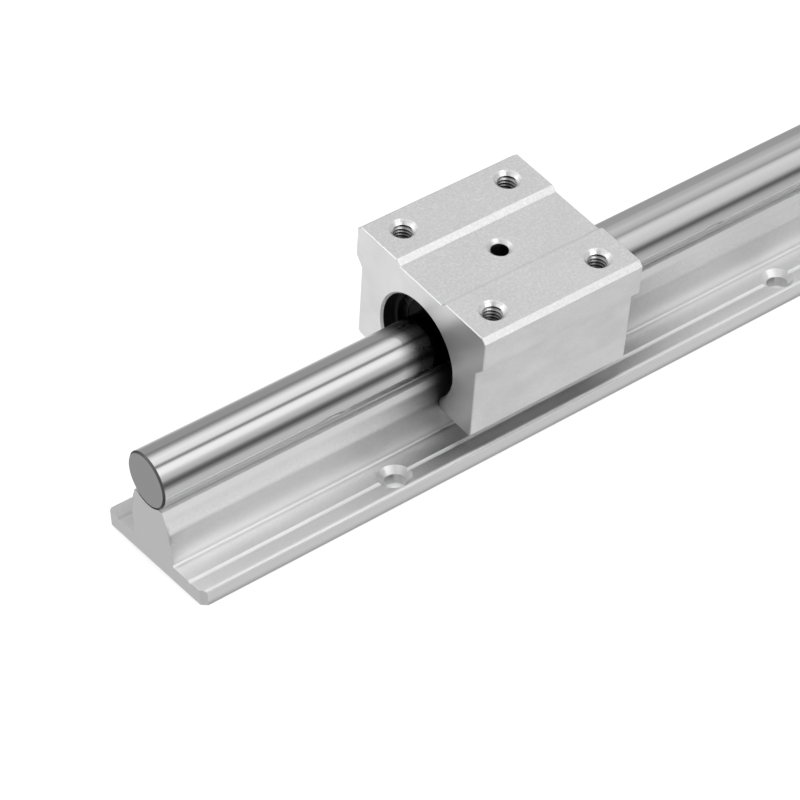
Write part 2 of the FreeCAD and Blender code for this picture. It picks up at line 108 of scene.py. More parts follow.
def add_math(tree, operation, first, second=0.0):
    """A math node whose two inputs are each a number or an output."""
    node = add_node(tree, "Math", operation=operation)
    wire(tree, first, node.inputs[0])
    wire(tree, second, node.inputs[1])
    return node.outputs["Value"]


def add_ramp(tree, source, stops):
    """A colour ramp of greys, from pairs of a place and a grey."""
    node = add_node(tree, "ValToRGB")
    band = node.color_ramp
    while len(band.elements) < len(stops):
        band.elements.new(1.0)
    for element, (place, grey) in zip(band.elements, stops):
        element.position = place
        element.color = (grey, grey, grey, 1.0)
    wire(tree, source, node.inputs["Fac"])
    return node.outputs["Color"]


def add_blend(tree, factor, first, second, blend_type="MIX"):
    """Mix two greys or colours by a factor."""
    node = add_node(tree, "Mix", data_type="RGBA", blend_type=blend_type)
    wire(tree, factor, node.inputs[0])
    wire(tree, first, node.inputs[6])
    wire(tree, second, node.inputs[7])
    return node.outputs[2]


def add_step(tree, source, start, end, least=0.0):
    """A smooth step from the least value at the start to one at the end."""
    node = add_node(tree, "MapRange", interpolation_type="SMOOTHSTEP")
    node.inputs["From Min"].default_value = start
    node.inputs["From Max"].default_value = end
    node.inputs["To Min"].default_value = least
    wire(tree, source, node.inputs["Value"])
    return node.outputs["Result"]


def add_parts(tree, coordinates):
    """The X, Y and Z of one of the texture coordinates, as three outputs."""
    place = add_node(tree, "TexCoord")
    parts = add_node(tree, "SeparateXYZ")
    wire(tree, place.outputs[coordinates], parts.inputs["Vector"])
    return parts.outputs["X"], parts.outputs["Y"], parts.outputs["Z"]


print("helpers for nodes, wires, ramps and steps")

# %% [markdown]
# ## The light tent
#
# Polished steel has no look of its own: it shows the room. A product like this one is
# photographed in a tent of white cloth with bright panels overhead and a darker gap at the
# table's edge. Modelling that tent would put its cloth in the way of other views, so it is
# painted on the world instead. A ray that leaves a metal surface looks up its light by its
# angle about the rail, in one of three lists: one for rays that are about square to the
# rail, one for rays towards its far end, and one for rays towards its near end. Two panels
# add to that, and a slit that is left for the lens takes away from it. A ray from the
# camera finds plain white, and one from a matt surface finds soft, even light.

# %% Tent greys
# Angle about the rail in degrees, 0 towards the camera's side, 90 up, and the grey there
# as it looks on the screen
TENT_MIDDLE = (
    (-180, 0.60), (-164, 0.75), (-150, 0.85), (-130, 0.95), (-75, 0.88), (-60, 0.80),
    (-46, 0.74), (-30, 0.71), (-20, 0.54), (-8, 0.335), (-3, 0.34), (5, 0.45), (13, 0.66),
    (28, 0.76), (40, 0.93), (50, 0.96), (59, 0.91), (67, 0.49), (70, 0.50), (79, 0.88),
    (98, 0.93), (110, 0.84), (117, 0.72), (125, 0.50), (134, 0.57), (180, 0.59),
)
TENT_FAR = (
    (-180, 0.60), (-160, 0.64), (-145, 0.80), (-130, 0.92), (-75, 0.84), (-60, 0.78),
    (-44, 0.69), (-28, 0.64), (-8, 0.35), (0, 0.43), (8, 0.62), (20, 0.77), (56, 0.84),
    (66, 0.79), (76, 0.59), (88, 0.70), (106, 0.76), (124, 0.69), (140, 0.62), (180, 0.60),
)
TENT_NEAR = (
    (-180, 0.45), (-168, 0.60), (-152, 0.96), (-115, 0.96), (-95, 0.70), (-75, 0.60),
    (-40, 0.60), (0, 0.70), (30, 0.95), (140, 0.97), (162, 0.95), (174, 0.50), (180, 0.45),
)
# The key panel hangs square to the rail, where the camera can't see it in a mirror
KEY_PANEL = ((-20, 0.0), (15, 1.45), (60, 1.45), (90, 0.0))
# The rim panel stands past the near end, where only edges and hollows mirror it
RIM_PANEL = (
    (-100, 0.0), (-75, 0.75), (-30, 0.75), (0, 0.0),
    (118, 0.0), (130, 1.1), (165, 1.1), (175, 0.0),
)
# The slit for the lens, as a turn about the upright in degrees from the rail's near end
# towards the camera's side, with the share of the near light that is missing there
LENS_SLIT = ((36, 0.0), (46, 0.9), (62, 0.9), (72, 0.0))
LENS_GREY = 0.25
# Where a list or a panel begins and is full, by how far a ray goes along the rail: 1 is
# straight towards the far end, 0 is square to the rail, -1 is straight to the near end
FAR_LIST = (0.47, 0.53)
NEAR_LIST = (0.15, -0.25)
KEY_NEAR_EDGE = (-0.10, 0.08)
KEY_FAR_EDGE = (0.36, 0.28)
RIM_EDGE = (-0.54, -0.62)
# The light that matt surfaces find all round
MATT_LIGHT = 0.75
print("tent with", len(TENT_MIDDLE), "stops in its middle")


# %% World
def linear(grey):
    """A grey as it looks on the screen, as the amount of light that it stands for."""
    return grey ** 2.2


def to_turn(degrees):
    """An angle from -180 to 180 degrees, as a share of the full turn."""
    return (degrees + 180.0) / 360.0


def add_turn(tree, up, across):
    """The angle of a direction with those two parts, as a share of the full turn."""
    angle = add_math(tree, "ARCTAN2", up, across)
    return add_math(tree, "ADD", add_math(tree, "DIVIDE", angle, 2.0 * math.pi), 0.5)


def add_tent(tree, turn, greys):
    """The light of one list or panel at a turn about the rail."""
    stops = [(to_turn(degrees), linear(grey)) for degrees, grey in greys]
    return add_ramp(tree, turn, stops)


def add_tent_light(tree):
    """All the light of the tent in the direction of a ray."""
    along, side, up = add_parts(tree, "Generated")
    towards = add_math(tree, "MULTIPLY", side, -1.0)
    turn = add_turn(tree, up, towards)
    middle = add_tent(tree, turn, TENT_MIDDLE)
    far = add_tent(tree, turn, TENT_FAR)
    tent = add_blend(tree, add_step(tree, along, *FAR_LIST), middle, far)
    around = add_turn(tree, towards, add_math(tree, "MULTIPLY", along, -1.0))
    stops = [(to_turn(degrees), share) for degrees, share in LENS_SLIT]
    near = add_tent(tree, turn, TENT_NEAR)
    near = add_blend(tree, add_ramp(tree, around, stops), near, linear(LENS_GREY))
    tent = add_blend(tree, add_step(tree, along, *NEAR_LIST), tent, near)
    key = add_tent(tree, turn, KEY_PANEL)
    key = add_blend(tree, add_step(tree, along, *KEY_NEAR_EDGE), 0.0, key)
    key = add_blend(tree, add_step(tree, along, *KEY_FAR_EDGE), 0.0, key)
    rim = add_tent(tree, turn, RIM_PANEL)
    rim = add_blend(tree, add_step(tree, along, *RIM_EDGE), 0.0, rim)
    return add_math(tree, "ADD", add_math(tree, "ADD", tent, key), rim)


def make_world():
    """The tent for mirrors, even light for matt surfaces and white for the camera."""
    world = bpy.data.worlds.new("light_tent")
    world.use_nodes = True
    # Only rays that reach the world read it, so each finds the light for its own kind
    world.cycles.sampling_method = "NONE"
    bpy.context.scene.world = world
    tree = world.node_tree
    tree.nodes.clear()
    rays = add_node(tree, "LightPath").outputs
    light = add_blend(tree, rays["Is Glossy Ray"], MATT_LIGHT, add_tent_light(tree))
    seen = add_math(tree, "MAXIMUM", rays["Is Camera Ray"], rays["Is Transmission Ray"])
    sky = add_node(tree, "Background")
    output = add_node(tree, "OutputWorld")
    wire(tree, add_blend(tree, seen, light, 1.0), sky.inputs["Color"])
    wire(tree, sky.outputs["Background"], output.inputs["Surface"])
    return world


world = make_world()
print("world", world.name, "with", len(world.node_tree.nodes), "nodes")

# %% [markdown]
# ## Floor and lamps
#
# The floor is a plain pale sheet, made as a grid of one face. For the camera it glows a
# little, so that it reads as white paper while the shadow under the rail stays on it. The
# glow is dimmed by painted shade where little open sky is left, as at the foot of the
# rail's screw holes.
# The sheet lies a hair below the rail, because two faces in one plane would flicker. Two
# broad lamps give the shadow, one high on the camera's side and one behind. Mirrors don't
# show them, because the tent already stands for them there.

# %% Floor
FLOOR_SIZE = 8.0
FLOOR_DROP = 0.05 * MM
PAPER_GREY = 0.8
PAPER_SEEN_GREY = 0.3
PAPER_GLOW = 0.78
# Painted shade in the rail's screw holes: its reach, the share of sky over which the glow
# comes back, and the glow that is left
HOLE_REACH = 6.0 * MM
HOLE_SKY = (0.30, 0.58)
HOLE_PAINTED_SHADE = 0.35
SKY_SAMPLES = 8


def add_sky(tree, reach, **settings):
    """The share of open sky over a surface, looking no further than the reach."""
    return add_node(
        tree, "AmbientOcclusion", samples=SKY_SAMPLES, Distance=reach, **settings)


def make_paper():
    """White paper: plain for every ray but the camera's, for which it glows. Painted
    shade dims the glow where little sky is open.
    """
    material = bpy.data.materials.new("white_paper")
    material.use_nodes = True
    tree = material.node_tree
    tree.nodes.clear()
    path = add_node(tree, "LightPath")
    matt = add_node(tree, "BsdfDiffuse")
    wire(tree, PAPER_GREY, matt.inputs["Color"])
    seen = add_node(tree, "BsdfDiffuse")
    wire(tree, PAPER_SEEN_GREY, seen.inputs["Color"])
    glow = add_node(tree, "Emission", Strength=PAPER_GLOW)
    lit = add_step(tree, add_sky(tree, HOLE_REACH).outputs["AO"], *HOLE_SKY)
    wire(tree, add_blend(tree, lit, HOLE_PAINTED_SHADE, 1.0), glow.inputs["Color"])
    both = add_node(tree, "AddShader")
    wire(tree, seen.outputs["BSDF"], both.inputs[0])
    wire(tree, glow.outputs["Emission"], both.inputs[1])
    mix = add_node(tree, "MixShader")
    wire(tree, path.outputs["Is Camera Ray"], mix.inputs["Fac"])
    wire(tree, matt.outputs["BSDF"], mix.inputs[1])
    wire(tree, both.outputs["Shader"], mix.inputs[2])
    output = add_node(tree, "OutputMaterial")
    wire(tree, mix.outputs["Shader"], output.inputs["Surface"])
    return material


def make_floor():
    """A sheet of the white paper, a hair below the rail."""
    shape = bmesh.new()
    drop = Matrix.Translation((0, 0, -FLOOR_DROP))
    bmesh.ops.create_grid(
        shape, x_segments=1, y_segments=1, size=FLOOR_SIZE / 2, matrix=drop)
    mesh = bpy.data.meshes.new("floor")
    shape.to_mesh(mesh)
    shape.free()
    floor = bpy.data.objects.new("floor", mesh)
    bpy.context.scene.collection.objects.link(floor)
    floor.visible_glossy = False
    mesh.materials.append(make_paper())
    return floor


floor = make_floor()
print(floor.name, FLOOR_SIZE, "m across")

# %% Lamps
# Name, place in metres, width in metres and power in watts
LAMPS = (
    ("lamp_overhead", (-0.3, -0.9, 1.6), 1.2, 14.0),
    ("lamp_behind", (0.5, 1.2, 1.1), 1.0, 6.0),
)


def make_lamp(name, place, size, power):
    """A square lamp that faces the origin."""
    data = bpy.data.lights.new(name, "AREA")
    data.shape = "SQUARE"
    data.size = size
    data.energy = power
    lamp = bpy.data.objects.new(name, data)
    bpy.context.scene.collection.objects.link(lamp)
    lamp.location = place
    lamp.rotation_mode = "QUATERNION"
    lamp.rotation_quaternion = (-Vector(place)).to_track_quat("-Z", "Y")
    lamp.visible_glossy = False
    lamp.visible_camera = False


for lamp in LAMPS:
    make_lamp(*lamp)
print(len(LAMPS), "lamps")

# %% [markdown]
# ## Helpers for finishes
#
# Every finish is a Principled shader, with noise in its tone, its gloss and its relief.
# The noise is read on the piece's own coordinates, so it keeps its true size and stays
# with the piece when that moves. A mask on the piece's own normal picks out the faces that
# look one way, such as the cut ends. In a hollow, metal mirrors its own bright walls and
# stays too light. So the shade there is measured, as the share of open sky that a surface
# has left, and painted in its tone.


# %% Helpers for patterns
def start_material(name):
    """A material with an empty tree, its Principled shader and its output."""
    material = bpy.data.materials.new(name)
    material.use_nodes = True
    tree = material.node_tree
    tree.nodes.clear()
    output = add_node(tree, "OutputMaterial")
    shader = add_node(tree, "BsdfPrincipled")
    wire(tree, shader.outputs["BSDF"], output.inputs["Surface"])
    return material, tree, shader


def add_noise(tree, stretch, detail=3.0, roughness=0.5):
    """Noise on the piece's own coordinates, stretch being cells per metre in x, y, z."""
    place = add_node(tree, "TexCoord")
    scale = add_node(tree, "Mapping", Scale=stretch)
    noise = add_node(tree, "TexNoise", Scale=1.0, Detail=detail, Roughness=roughness)
    wire(tree, place.outputs["Object"], scale.inputs["Vector"])
    wire(tree, scale.outputs["Vector"], noise.inputs["Vector"])
    return noise.outputs["Fac"]


def add_product(tree, first, second):
    """Two greys or colours multiplied."""
    return add_blend(tree, 1.0, first, second, "MULTIPLY")


def add_facing_mask(tree, low=0.6, high=0.9, axis=0):
    """One on faces that look along an axis, nought on those that don't. The axis is that
    of the rail, 0, unless another is given."""
    size = add_math(tree, "ABSOLUTE", add_parts(tree, "Normal")[axis])
    mask = add_node(tree, "MapRange")
    mask.inputs["From Min"].default_value = low
    mask.inputs["From Max"].default_value = high
    wire(tree, size, mask.inputs["Value"])
    return mask.outputs["Result"]


print("helpers for patterns")


# %% Helpers for shade and relief
def add_shade(tree, reach, dark, light, least):
    """A painted shade, a grey that falls in hollows: from one above the light share of open
    sky to the least grey under the dark share, looking no further than the reach in metres."""
    return add_step(tree, add_sky(tree, reach).outputs["AO"], dark, light, least)


def add_open_share(tree, reach, towards=None):
    """The share of its own sky that the other pieces leave to a surface. The sky lies
    about the surface's own normal, or about another direction if one is given."""
    sky = add_sky(tree, reach)
    own = add_sky(tree, reach, only_local=True)
    if towards is not None:
        wire(tree, towards, sky.inputs["Normal"])
        wire(tree, towards, own.inputs["Normal"])
    return add_math(tree, "DIVIDE", sky.outputs["AO"], own.outputs["AO"])


def add_bump(tree, shader, height, strength, distance, edge=0.0, where=None):
    """Fine relief from a height, with a distance in metres. Edges look rounded by the
    edge's radius, everywhere or only where a mask is one."""
    node = add_node(tree, "Bump", Strength=strength, Distance=distance)
    wire(tree, height, node.inputs["Height"])
    if edge > 0.0:
        rounded = add_node(tree, "Bevel", samples=6, Radius=edge).outputs["Normal"]
        if where is not None:
            plain = add_node(tree, "NewGeometry")
            rounded = add_blend(tree, where, plain.outputs["Normal"], rounded)
        wire(tree, rounded, node.inputs["Normal"])
    wire(tree, node.outputs["Normal"], shader.inputs["Normal"])


print("helpers for shade and relief")

# %% [markdown]
# ## Shade on the support
#
# The block stands close over the support and darkens it, and this painted shade has to
# follow the block as it slides. The share of sky that the other pieces take away gives
# that:
# it is one far from the block and small beneath it. Three ramps turn the share into a grey,
# for the flange, the stem and the seat under the shaft, because each mirrors another part
# of the tent. The seat would measure the shaft itself along its own normal, so it looks
# straight out to its side instead. The cut ends take no shade. The outer sides take none
# from the block, but painted light makes them a little brighter, and a short painted shade
# darkens their foot, as it does at the stem's foot.

# %% Shade on the support
SHADE_REACH = 30.0 * MM
SHADE_FLANGE = (
    (0.0, 0.80), (0.32, 1.00), (0.42, 0.75), (0.55, 0.45), (0.66, 0.36), (0.75, 0.78),
    (0.83, 0.80), (0.88, 1.0), (1.0, 1.0),
)
SHADE_STEM = (
    (0.0, 0.03), (0.35, 0.06), (0.60, 0.30), (0.75, 0.52), (0.83, 0.90), (0.87, 1.0),
)
SHADE_SEAT = ((0.0, 0.03), (0.30, 0.05), (0.45, 0.30), (0.60, 0.95), (1.0, 0.95))
# Heights over which the flange's ramp gives way to the stem's, and that to the seat's
STEM_FROM = 8.0 * MM
STEM_TO = 11.0 * MM
SEAT_FROM = 13.5 * MM
SEAT_TO = 14.5 * MM
# The outer sides stand this far from the middle, and painted light makes them a little
# brighter
FLANGE_SIDE = 16.1 * MM
SIDE_PAINTED_LIGHT = 1.10
# The painted shade in the corner at the stem's foot and at the foot of the outer sides:
# reach, dark share, light share, least grey
FOOT_SHADE = (2.0 * MM, 0.55, 0.85, 0.60)
FOOT_WIDTH = 9.0 * MM
# The part of a face's normal along the rail over which its mask goes from nought to one
CUT_FACING = (0.4, 0.6)


def add_rail_shade(tree):
    """Painted shade where the block stands over the rail and at the feet, and painted
    light on the outer sides, but nothing on the ends.
    """
    across, up = add_parts(tree, "Object")[1:]
    share = add_open_share(tree, SHADE_REACH)
    flange = add_ramp(tree, share, SHADE_FLANGE)
    stem = add_ramp(tree, share, SHADE_STEM)
    on_stem = add_step(tree, up, STEM_FROM, STEM_TO)
    shade = add_blend(tree, on_stem, flange, stem)
    outwards = add_node(tree, "CombineXYZ")
    wire(tree, add_math(tree, "SIGN", across), outwards.inputs["Y"])
    share = add_open_share(tree, SHADE_REACH, outwards.outputs["Vector"])
    seat = add_ramp(tree, share, SHADE_SEAT)
    shade = add_blend(tree, add_step(tree, up, SEAT_FROM, SEAT_TO), shade, seat)
    across = add_math(tree, "ABSOLUTE", across)
    sides = add_math(tree, "GREATER_THAN", across, FLANGE_SIDE)
    # Painted light: the outer sides are made a little brighter instead of shaded
    shade = add_blend(tree, sides, shade, SIDE_PAINTED_LIGHT)
    foot = add_blend(tree, on_stem, add_shade(tree, *FOOT_SHADE), 1.0)
    inside = add_math(tree, "LESS_THAN", across, FOOT_WIDTH)
    cornered = add_math(tree, "MAXIMUM", sides, inside)
    shade = add_product(tree, shade, add_blend(tree, cornered, 1.0, foot))
    return add_blend(tree, add_facing_mask(tree, *CUT_FACING), shade, 1.0)


print("shade for the flange, the stem and the seat")

# %% [markdown]
# ## Extruded aluminium
#
# A mill-finish extrusion leaves its die with fine lines along its length. The finish is a
# satin metal whose relief, tone and gloss come from noise that is drawn out along the
# rail. The cut ends lack those lines and are duller. On the real stem the foot runs into
# the slope without a hard edge, so the edges at its knee are made to look rounded.

# %% Extruded aluminium
# Cells of noise per metre along, across and up
DIE_LINES = (9.0, 1400.0, 1400.0)
DIE_BANDS = (5.0, 160.0, 160.0)
MILL_CLOUDS = (60.0, 90.0, 90.0)
MILL_METAL = 0.92
MILL_TONE = ((0.30, 0.82), (0.70, 0.94))
MILL_GLOSS = ((0.30, 0.48), (0.70, 0.58))
SAWN_TONE = 0.58
SAWN_GLOSS = 0.55
LINE_DEPTH = 0.06 * MM
KNEE_FROM = 8.8 * MM
KNEE_TO = 13.2 * MM
KNEE_BLEND = 0.6 * MM
KNEE_SOFTNESS = 1.4 * MM


def make_extruded_aluminium():
    """Satin metal with lines along the rail, and plain cut ends."""
    material, tree, shader = start_material("extruded_aluminium")
    shader.inputs["Metallic"].default_value = MILL_METAL
    ends = add_facing_mask(tree)
    lines = add_noise(tree, DIE_LINES, detail=4.0, roughness=0.6)
    tone = add_ramp(tree, add_noise(tree, DIE_BANDS, detail=2.0), MILL_TONE)
    tone = add_blend(tree, ends, tone, SAWN_TONE)
    # The tone carries the painted shade of the block over the rail and painted light on its
    # outer sides
    wire(tree, add_product(tree, tone, add_rail_shade(tree)), shader.inputs["Base Color"])
    gloss = add_ramp(tree, add_noise(tree, MILL_CLOUDS), MILL_GLOSS)
    wire(tree, add_blend(tree, ends, gloss, SAWN_GLOSS), shader.inputs["Roughness"])
    up = add_parts(tree, "Object")[2]
    above = add_step(tree, up, KNEE_FROM, KNEE_FROM + KNEE_BLEND)
    below = add_step(tree, up, KNEE_TO, KNEE_TO - KNEE_BLEND)
    knee = add_math(tree, "MULTIPLY", above, below)
    relief = add_math(tree, "MULTIPLY", lines, add_step(tree, up, SEAT_FROM, STEM_TO))
    add_bump(
        tree, shader, relief, strength=0.35, distance=LINE_DEPTH,
        edge=KNEE_SOFTNESS, where=knee)
    return material


FINISHES = {"extruded_aluminium": make_extruded_aluminium()}
print("finish", *FINISHES)

# %% [markdown]
# ## Chromed shaft
#
# The shaft is ground and chromed, so it is close to a mirror, with a trace of lines round
# it that draw each reflection out along the rail. Its sawn ends are plain grey steel, and
# painted shade makes their bevel dark. Painted shade darkens a band on the faces that look
# a little downward, and the upper part where the block's bearing closes round it.

# %% Chromed shaft
CHROME_TONE = 0.93
CHROME_GLOSS = 0.08
BEVEL_PAINTED_SHADE = 0.12
BEVEL_GLOSS = 0.5
END_TONE = 0.32
BEVEL_FACING = (0.3, 0.6)
END_FACING = (0.85, 0.95)
# Painted shade on the faces that look a little downward, below the shaft's side
# How far a face looks up: 0 is straight down, a half is level, 1 is straight up
UNDERSIDE_PAINTED_SHADE = (
    (0.22, 1.0), (0.28, 0.62), (0.36, 0.68), (0.42, 0.76), (0.465, 0.92), (0.50, 1.0),
)
# Reach, dark share, light share and least grey of the shade in the bearing, and the part
# of the normal along Z over which it comes in
BEARING_SHADE = (12.0 * MM, 0.45, 0.92, 0.03)
SHADED_FACING = (-0.45, -0.25)
GRINDING_RINGS = (2500.0, 30.0, 30.0)
RING_DEPTH = 0.04 * MM


def make_chromed_shaft():
    """A near mirror with plain ends, and painted shade on its bevels, below its side
    and in the bearing.
    """
    material, tree, shader = start_material("chromed_shaft")
    shader.inputs["Metallic"].default_value = 1.0
    bevels = add_facing_mask(tree, *BEVEL_FACING)
    ends = add_facing_mask(tree, *END_FACING)
    # Painted shade: the bevel is made dark
    tone = add_blend(tree, bevels, CHROME_TONE, BEVEL_PAINTED_SHADE)
    tone = add_blend(tree, ends, tone, END_TONE)
    facing = add_parts(tree, "Normal")[2]
    upper = add_step(tree, facing, *SHADED_FACING)
    shade = add_blend(tree, upper, 1.0, add_shade(tree, *BEARING_SHADE))
    tone = add_product(tree, tone, shade)
    lift = add_math(tree, "ADD", add_math(tree, "MULTIPLY", facing, 0.5), 0.5)
    # Painted shade: a band below the shaft's side is made darker
    tone = add_product(tree, tone, add_ramp(tree, lift, UNDERSIDE_PAINTED_SHADE))
    wire(tree, tone, shader.inputs["Base Color"])
    gloss = add_blend(tree, bevels, CHROME_GLOSS, BEVEL_GLOSS)
    wire(tree, gloss, shader.inputs["Roughness"])
    rings = add_noise(tree, GRINDING_RINGS, detail=2.0)
    add_bump(tree, shader, rings, strength=0.02, distance=RING_DEPTH)
    return material


FINISHES["chromed_shaft"] = make_chromed_shaft()
print("finishes", *FINISHES)

# %% [markdown]
# ## Letting mirrored light through the block
#
# In a real tent the shaft's reflections run softly into the dark of the bore. Here a ray
# that leaves the shaft beside the block would hit the block's flat end, and the shaft
# would show it with a hard edge. So rays that come from a mirror pass through the block's
# ends and the wall of its bore, and are dimmed the closer they pass to the shaft. All
# other rays find solid metal.

# %% See-through ends
SHAFT_AXIS = Vector((-65.2, 0.0, 20.46)) * MM
BORE_REACH = 11.75 * MM
BORE_DEPTH = 19.0 * MM
FADE_START = 9.0 * MM
FADE_END = 21.0 * MM


def add_reach(tree):
    """The distance from the shaft's axis."""
    across, up = add_parts(tree, "Object")[1:]
    up = add_math(tree, "POWER", add_math(tree, "SUBTRACT", up, SHAFT_AXIS.z), 2.0)
    across = add_math(tree, "POWER", across, 2.0)
    return add_math(tree, "SQRT", add_math(tree, "ADD", across, up))


def add_bore_mask(tree):
    """One on the wall of the block's bore, behind the bevels at its two mouths."""
    along = add_parts(tree, "Object")[0]
    depth = add_math(tree, "ABSOLUTE", add_math(tree, "SUBTRACT", along, SHAFT_AXIS.x))
    between = add_math(tree, "LESS_THAN", depth, BORE_DEPTH)
    inside = add_math(tree, "LESS_THAN", add_reach(tree), BORE_REACH)
    return add_math(tree, "MULTIPLY", inside, between)


def add_see_through(tree, shader, entries):
    """Let mirror rays in where the entries mask is one, dimmed towards the bore, and out
    again wherever they leave."""
    path = add_node(tree, "LightPath")
    dim = add_step(tree, add_reach(tree), FADE_START, FADE_END)
    within = add_math(tree, "MINIMUM", path.outputs["Transparent Depth"], 1.0)
    clear = add_node(tree, "BsdfTransparent")
    wire(tree, add_blend(tree, within, dim, 1.0), clear.inputs["Color"])
    through = add_math(tree, "MAXIMUM", entries, within)
    through = add_math(tree, "MULTIPLY", path.outputs["Is Glossy Ray"], through)
    mix = add_node(tree, "MixShader")
    wire(tree, through, mix.inputs["Fac"])
    wire(tree, shader.outputs["BSDF"], mix.inputs[1])
    wire(tree, clear.outputs["BSDF"], mix.inputs[2])
    output = tree.nodes["Material Output"]
    wire(tree, mix.outputs["Shader"], output.inputs["Surface"])


print("mirrored light fades between %.0f and %.0f mm" % (FADE_END / MM, FADE_START / MM))

# %% [markdown]
# ## Blasted aluminium
#
# The block's extruded faces were blasted with fine beads: a dense grain, finer than a
# millimetre, that scatters the light. Handling has rubbed the grain off its two sides in
# soft patches. Its two ends were milled after the blasting and are smooth. Fine noise
# gives the grain, and a blend with coarse noise gives the rubbed patches. Painted shade
# darkens the block's hollows and makes the wall of its bore nearly black.

# %% Blasted aluminium
BEAD_GRAIN = (1900.0, 1900.0, 1900.0)
BEAD_TONE = ((0.30, 0.75), (0.50, 0.81), (0.62, 0.87), (0.74, 0.98))
BEAD_METAL = 0.72
BEAD_DEPTH = 0.08 * MM
RUBBED_PATCHES = (90.0, 160.0, 160.0)
RUBBED_TONE = ((0.35, 0.75), (0.65, 0.88))
RUBBED_SHARE = 0.65
# Across the rail, which is axis 1
SIDE_FACING = (0.90, 0.97, 1)
BLOCK_CLOUDS = (120.0, 120.0, 120.0)
MILLED_METAL = 0.95
MILLED_TONE = ((0.30, 0.71), (0.70, 0.80))
BLOCK_GLOSS = ((0.30, 0.42), (0.70, 0.50))
MILLED_GLOSS = 0.30
# Painted shade: the bore's wall is made nearly black
BORE_PAINTED_SHADE = 0.03
# Painted shade in the block's hollows and holes: reach, dark share, light share, least grey
BLOCK_SHADE = (6.0 * MM, 0.30, 0.85, 0.02)
BLOCK_EDGE = 0.12 * MM
ENTRY_FACING = (0.5, 0.6)


def make_blasted_aluminium():
    """Grainy metal with rubbed sides and smooth ends. Painted shade darkens its hollows
    and makes its bore nearly black.
    """
    material, tree, shader = start_material("blasted_aluminium")
    bore = add_bore_mask(tree)
    ends = add_facing_mask(tree)
    entries = add_math(tree, "MAXIMUM", add_facing_mask(tree, *ENTRY_FACING), bore)
    add_see_through(tree, shader, entries)
    metal = add_blend(tree, ends, BEAD_METAL, MILLED_METAL)
    wire(tree, metal, shader.inputs["Metallic"])
    grain = add_noise(tree, BEAD_GRAIN, roughness=0.7)
    clouds = add_noise(tree, BLOCK_CLOUDS)
    tone = add_ramp(tree, grain, BEAD_TONE)
    rubbed = add_ramp(tree, add_noise(tree, RUBBED_PATCHES, detail=4.0), RUBBED_TONE)
    rubbed = add_blend(tree, RUBBED_SHARE, tone, rubbed)
    tone = add_blend(tree, add_facing_mask(tree, *SIDE_FACING), tone, rubbed)
    tone = add_blend(tree, ends, tone, add_ramp(tree, clouds, MILLED_TONE))
    tone = add_product(tree, tone, add_shade(tree, *BLOCK_SHADE))
    wire(tree, add_blend(tree, bore, tone, BORE_PAINTED_SHADE), shader.inputs["Base Color"])
    gloss = add_ramp(tree, clouds, BLOCK_GLOSS)
    wire(tree, add_blend(tree, ends, gloss, MILLED_GLOSS), shader.inputs["Roughness"])
    relief = add_math(tree, "MULTIPLY", grain, add_math(tree, "SUBTRACT", 1.0, ends))
    add_bump(tree, shader, relief, strength=0.4, distance=BEAD_DEPTH, edge=BLOCK_EDGE)
    return material


FINISHES["blasted_aluminium"] = make_blasted_aluminium()
print("finishes", *FINISHES)

# %% [markdown]
# ## The bearing's own materials
#
# Inside the bore everything is dark: a ground steel sleeve whose low tone is painted shade,
# black rings, a moulded cage and rubber seals, all under a film of oil. Painted shade also
# darkens the hollows of the metal parts. Two recipes do for all of them, one for dark metal
# and one for mouldings, each with its own tone and gloss.

# %% Bearing materials
OIL_CLOUDS = (400.0, 400.0, 400.0)
OIL_DEPTH = 0.03 * MM
# Painted shade in the hollows of the dark metals: reach, dark share, light share, least
# grey
METAL_SHADE = (6.0 * MM, 0.20, 0.80, 0.10)
MOULD_GRAIN = (1500.0, 1500.0, 1500.0)
MOULD_SHEEN = 0.12
SKIN_DEPTH = 0.03 * MM
# The bearing steel's low tone is painted shade, for the dark inside the bore
# Name, tone and gloss
DARK_METALS = (
    ("bearing_steel", 0.20, 0.25),
    ("black_screw_steel", 0.08, 0.4),
    ("black_spring_steel", 0.12, 0.35),
)
MOULDINGS = (("cage_resin", 0.014, 0.5), ("seal_rubber", 0.012, 0.7))


def vary(value):
    """The stops of a ramp that varies a value by a fifth each way."""
    return (0.3, value * 0.8), (0.7, value * 1.2)


def make_dark_metal(name, tone, gloss):
    """Metal under a film of oil, with painted shade in its hollows."""
    material, tree, shader = start_material(name)
    shader.inputs["Metallic"].default_value = 1.0
    film = add_noise(tree, OIL_CLOUDS)
    colour = add_ramp(tree, film, vary(tone))
    colour = add_product(tree, colour, add_shade(tree, *METAL_SHADE))
    wire(tree, colour, shader.inputs["Base Color"])
    wire(tree, add_ramp(tree, film, vary(gloss)), shader.inputs["Roughness"])
    add_bump(tree, shader, film, strength=0.1, distance=OIL_DEPTH)
    return material


def make_moulding(name, tone, gloss):
    """Plastic or rubber with a fine skin and little sheen."""
    material, tree, shader = start_material(name)
    skin = add_noise(tree, MOULD_GRAIN, detail=2.0)
    wire(tree, add_ramp(tree, skin, vary(tone)), shader.inputs["Base Color"])
    shader.inputs["Roughness"].default_value = gloss
    shader.inputs["Specular IOR Level"].default_value = MOULD_SHEEN
    add_bump(tree, shader, skin, strength=0.15, distance=SKIN_DEPTH)
    return material


for recipe in DARK_METALS:
    FINISHES[recipe[0]] = make_dark_metal(*recipe)
for recipe in MOULDINGS:
    FINISHES[recipe[0]] = make_moulding(*recipe)
print("finishes", *FINISHES)

# %% [markdown]
# ## Finishes on the solids
#
# The record gives each of its pieces a material slot, and the finishes have the slots'
# names. Each solid gets the finish of its slot and is left alone otherwise.

